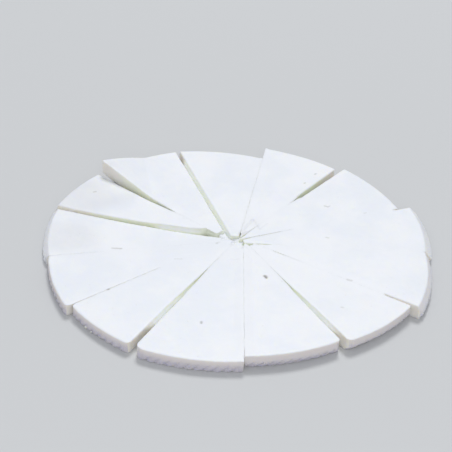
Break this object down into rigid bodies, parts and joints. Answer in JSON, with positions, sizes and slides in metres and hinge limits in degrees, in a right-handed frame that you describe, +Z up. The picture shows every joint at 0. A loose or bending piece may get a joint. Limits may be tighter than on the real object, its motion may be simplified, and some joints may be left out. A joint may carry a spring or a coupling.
{
  "type": "queso fresco round",
  "caption": "Thin round of fresh white cheese, cut through the middle into wedge slices that still lie together as the whole round, one outer corner bent up.",
  "frame": {"origin": "middle of the whole round's box, on the plane that it rests on", "axes": "+Z up, +Y to the back, +X to the right seen from the front; one seam between two slices points to the front"},
  "size_m": [0.2074, 0.1982, 0.0162],
  "materials": {
    "cheese": "moist, soft white, slightly translucent"
  },
  "bodies": {
    "root": {"slice_01": "cheese", "slice_02": "cheese", "slice_03": "cheese", "slice_04": "cheese", "slice_05": "cheese", "slice_06": "cheese", "slice_07": "cheese", "slice_08": "cheese", "slice_09": "cheese", "slice_10": "cheese", "slice_11": "cheese", "slice_12": "cheese", "slice_13": "cheese"}
  },
  "joints": []
}
